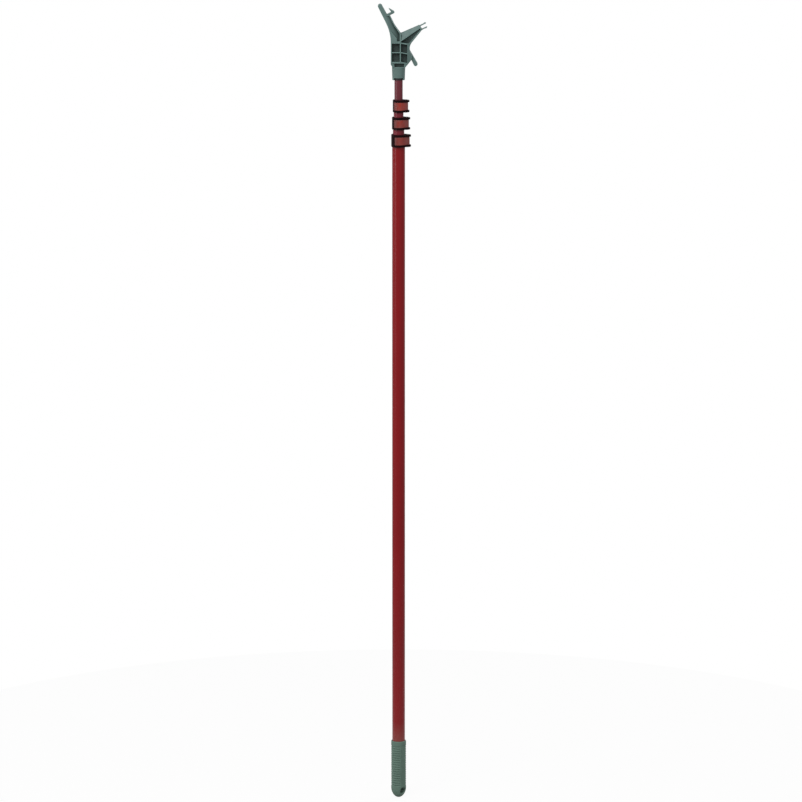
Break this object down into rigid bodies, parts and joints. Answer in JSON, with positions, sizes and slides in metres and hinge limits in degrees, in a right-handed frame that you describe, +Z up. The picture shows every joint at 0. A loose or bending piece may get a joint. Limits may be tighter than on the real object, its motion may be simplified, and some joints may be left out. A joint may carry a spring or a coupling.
{
  "type": "telescoping pole",
  "caption": "Telescoping pole with nested round tubes, flip-lever clamps, a ribbed grip with a hanging hole, and a line-hanging head with a hook, a fork and a spur.",
  "frame": {"origin": "centre of the hanging hole, on the pole's axis", "axes": "+Z up the pole towards the head, -Y towards the front, where the levers are pulled"},
  "size_m": [0.0954, 0.033, 1.5854],
  "materials": {
    "tube_paint": "red powder coat over aluminium, semi-gloss",
    "grip_plastic": "moulded soft plastic, matt",
    "head_plastic": "moulded glass-filled plastic, satin",
    "collar_plastic": "black moulded nylon, satin",
    "lever_plastic": "red moulded acetal",
    "bush_plastic": "natural acetal",
    "pad_plastic": "dark moulded nylon",
    "pin_steel": "blackened steel",
    "rivet_aluminium": "plain aluminium",
    "tip_plastic": "black moulded nylon"
  },
  "bodies": {
    "base_section": {"grip": "grip_plastic", "section_1": "tube_paint", "mouth_bush_1": "bush_plastic", "collar_1": "collar_plastic", "lever_pin_1": "pin_steel", "collar_rivet_1": "rivet_aluminium"},
    "tail_bush_2": {"tail_bush_2": "bush_plastic"},
    "second_section": {"section_2": "tube_paint", "mouth_bush_2": "bush_plastic", "collar_2": "collar_plastic", "lever_pin_2": "pin_steel", "collar_rivet_2": "rivet_aluminium"},
    "tail_bush_3": {"tail_bush_3": "bush_plastic"},
    "third_section": {"section_3": "tube_paint", "mouth_bush_3": "bush_plastic", "collar_3": "collar_plastic", "lever_pin_3": "pin_steel", "collar_rivet_3": "rivet_aluminium"},
    "tail_bush_4": {"tail_bush_4": "bush_plastic"},
    "top_section": {"section_4": "tube_paint", "pole_tip": "tip_plastic", "tip_rivet": "rivet_aluminium", "hook_head": "head_plastic"},
    "lever_1": {"lever_1": "lever_plastic"},
    "pad_1": {"pad_1": "pad_plastic"},
    "lever_2": {"lever_2": "lever_plastic"},
    "pad_2": {"pad_2": "pad_plastic"},
    "lever_3": {"lever_3": "lever_plastic"},
    "pad_3": {"pad_3": "pad_plastic"}
  },
  "joints": [
    {"name": "extend_2", "type": "slide", "parent": "base_section", "child": "tail_bush_2", "axis": [0, 0, 1], "range_m": [0, 1.1]},
    {"name": "twist_2", "type": "hinge", "parent": "tail_bush_2", "child": "second_section", "pos_m": [0, 0, 0], "axis": [0, 0, 1], "continuous": true},
    {"name": "extend_3", "type": "slide", "parent": "second_section", "child": "tail_bush_3", "axis": [0, 0, 1], "range_m": [0, 1.1]},
    {"name": "twist_3", "type": "hinge", "parent": "tail_bush_3", "child": "third_section", "pos_m": [0, 0, 0], "axis": [0, 0, 1], "continuous": true},
    {"name": "extend_4", "type": "slide", "parent": "third_section", "child": "tail_bush_4", "axis": [0, 0, 1], "range_m": [0, 1.1]},
    {"name": "twist_4", "type": "hinge", "parent": "tail_bush_4", "child": "top_section", "pos_m": [0, 0, 0], "axis": [0, 0, 1], "continuous": true},
    {"name": "lever_1_flip", "type": "hinge", "parent": "base_section", "child": "lever_1", "pos_m": [0.01733, -0.00306, 1.3036], "axis": [0, 0, 1], "range_deg": [0, 120]},
    {"name": "pad_1_release", "type": "slide", "parent": "base_section", "child": "pad_1", "axis": [0.9848, -0.1736, 0], "range_m": [0, 0.0004]},
    {"name": "lever_2_flip", "type": "hinge", "parent": "second_section", "child": "lever_2", "pos_m": [0.01586, -0.0028, 1.3374], "axis": [0, 0, 1], "range_deg": [0, 120]},
    {"name": "pad_2_release", "type": "slide", "parent": "second_section", "child": "pad_2", "axis": [0.9848, -0.1736, 0], "range_m": [0, 0.0004]},
    {"name": "lever_3_flip", "type": "hinge", "parent": "third_section", "child": "lever_3", "pos_m": [0.01438, -0.00254, 1.3712], "axis": [0, 0, 1], "range_deg": [0, 120]},
    {"name": "pad_3_release", "type": "slide", "parent": "third_section", "child": "pad_3", "axis": [0.9848, -0.1736, 0], "range_m": [0, 0.0004]}
  ],
  "couplings": [
    {"joint": "pad_1_release", "follows": "lever_1_flip", "m_per_rad": 0.00019},
    {"joint": "pad_2_release", "follows": "lever_2_flip", "m_per_rad": 0.00019},
    {"joint": "pad_3_release", "follows": "lever_3_flip", "m_per_rad": 0.00019}
  ]
}
